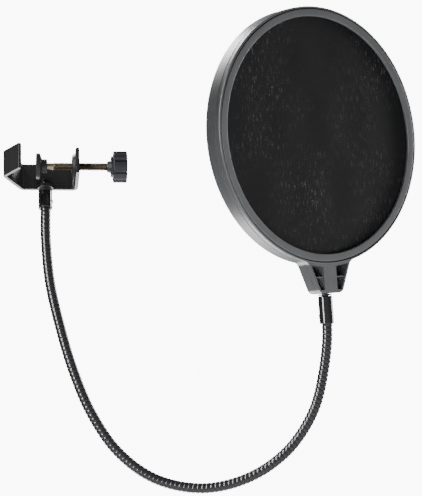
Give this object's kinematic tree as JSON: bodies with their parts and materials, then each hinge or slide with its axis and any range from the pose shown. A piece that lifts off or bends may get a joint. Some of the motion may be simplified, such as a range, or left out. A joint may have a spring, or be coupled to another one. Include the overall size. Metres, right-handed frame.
{
  "type": "pop filter",
  "caption": "Round pop filter with front and rear nylon mesh in a moulded hoop, on a bendable gooseneck with a V-jaw screw clamp for a stand tube.",
  "frame": {"origin": "on the clamp screw's axis, in the middle of the space that the clamp grips", "axes": "+Z along the gripped stand tube, +X along the clamp screw towards its knob, -Y the open side of the clamp"},
  "size_m": [0.2528, 0.1498, 0.2683],
  "materials": {
    "moulded_black": "moulded, fine grain",
    "nylon_mesh": "stretched nylon weave",
    "neck_black": "satin black coils",
    "ferrule_black": "gloss black",
    "fastener_black": "satin black",
    "bracket_black": "satin powder coat",
    "screw_steel": "bright",
    "thread_dark": "dark zinc plating",
    "knob_black": "moulded, satin",
    "insert_brass": "plain"
  },
  "bodies": {
    "bracket": {"clamp_bracket": "bracket_black", "clamp_ferrule": "ferrule_black", "clamp_set_screw": "fastener_black", "ferrule_screw": "screw_steel", "gooseneck_section_01": "neck_black"},
    "neck_02": {"gooseneck_section_02": "neck_black"},
    "neck_03": {"gooseneck_section_03": "neck_black"},
    "neck_04": {"gooseneck_section_04": "neck_black"},
    "neck_05": {"gooseneck_section_05": "neck_black"},
    "neck_06": {"gooseneck_section_06": "neck_black"},
    "neck_07": {"gooseneck_section_07": "neck_black"},
    "neck_08": {"gooseneck_section_08": "neck_black"},
    "neck_09": {"gooseneck_section_09": "neck_black"},
    "neck_10": {"gooseneck_section_10": "neck_black", "head_ferrule": "ferrule_black", "head_set_screw": "fastener_black", "swivel_stud": "fastener_black"},
    "head": {"front_shell": "moulded_black", "rear_shell": "moulded_black", "front_ring": "moulded_black", "rear_ring": "moulded_black", "front_mesh": "nylon_mesh", "rear_mesh": "nylon_mesh", "spacer_ring": "moulded_black", "threaded_insert": "insert_brass"},
    "pad": {"pressure_pad": "bracket_black"},
    "spindle": {"clamp_screw": "thread_dark", "knob": "knob_black"}
  },
  "joints": [
    {"name": "bend_1", "type": "hinge", "parent": "bracket", "child": "neck_02", "pos_m": [0.01526, 0.02282, -0.05458], "axis": [-0.1707, -0.9729, -0.1559], "range_deg": [-35, 12]},
    {"name": "sway_2", "type": "hinge", "parent": "neck_02", "child": "neck_03", "pos_m": [0.02149, 0.02893, -0.08886], "axis": [-0.9552, 0.2212, -0.1966], "range_deg": [-30, 30]},
    {"name": "bend_3", "type": "hinge", "parent": "neck_03", "child": "neck_04", "pos_m": [0.03145, 0.0369, -0.12188], "axis": [-0.1522, -0.9382, -0.3109], "range_deg": [-35, 12]},
    {"name": "sway_4", "type": "hinge", "parent": "neck_04", "child": "neck_05", "pos_m": [0.0465, 0.04575, -0.15261], "axis": [-0.8403, 0.2864, -0.4603], "range_deg": [-30, 30]},
    {"name": "bend_5", "type": "hinge", "parent": "neck_05", "child": "neck_06", "pos_m": [0.07065, 0.05249, -0.17723], "axis": [-0.0908, -0.9344, -0.3445], "range_deg": [-35, 12]},
    {"name": "sway_6", "type": "hinge", "parent": "neck_06", "child": "neck_07", "pos_m": [0.10389, 0.05285, -0.18817], "axis": [-0.0474, 0.3111, -0.9492], "range_deg": [-30, 30]},
    {"name": "bend_7", "type": "hinge", "parent": "neck_07", "child": "neck_08", "pos_m": [0.13777, 0.04575, -0.18261], "axis": [-0.1678, -0.9373, -0.3055], "range_deg": [-35, 12]},
    {"name": "sway_8", "type": "hinge", "parent": "neck_08", "child": "neck_09", "pos_m": [0.16431, 0.03369, -0.1631], "axis": [-0.793, -0.0621, 0.6061], "range_deg": [-30, 30]},
    {"name": "bend_9", "type": "hinge", "parent": "neck_09", "child": "neck_10", "pos_m": [0.1778, 0.01916, -0.13411], "axis": [-0.1744, -0.906, -0.3858], "range_deg": [-35, 12]},
    {"name": "head_swivel", "type": "hinge", "parent": "neck_10", "child": "head", "pos_m": [0.17965, -0.00297, -0.0859], "axis": [-0.07, -0.395, 0.916], "range_deg": [-180, 180]},
    {"name": "pad_slide", "type": "slide", "parent": "bracket", "child": "pad", "axis": [1, 0, 0], "range_m": [-0.0095, 0.011]},
    {"name": "screw_turn", "type": "hinge", "parent": "pad", "child": "spindle", "pos_m": [0.0601, 0, 0], "axis": [1, 0, 0], "range_deg": [-4290, 4965]}
  ],
  "couplings": [
    {"joint": "screw_turn", "follows": "pad_slide", "rad_per_m": 7854}
  ]
}
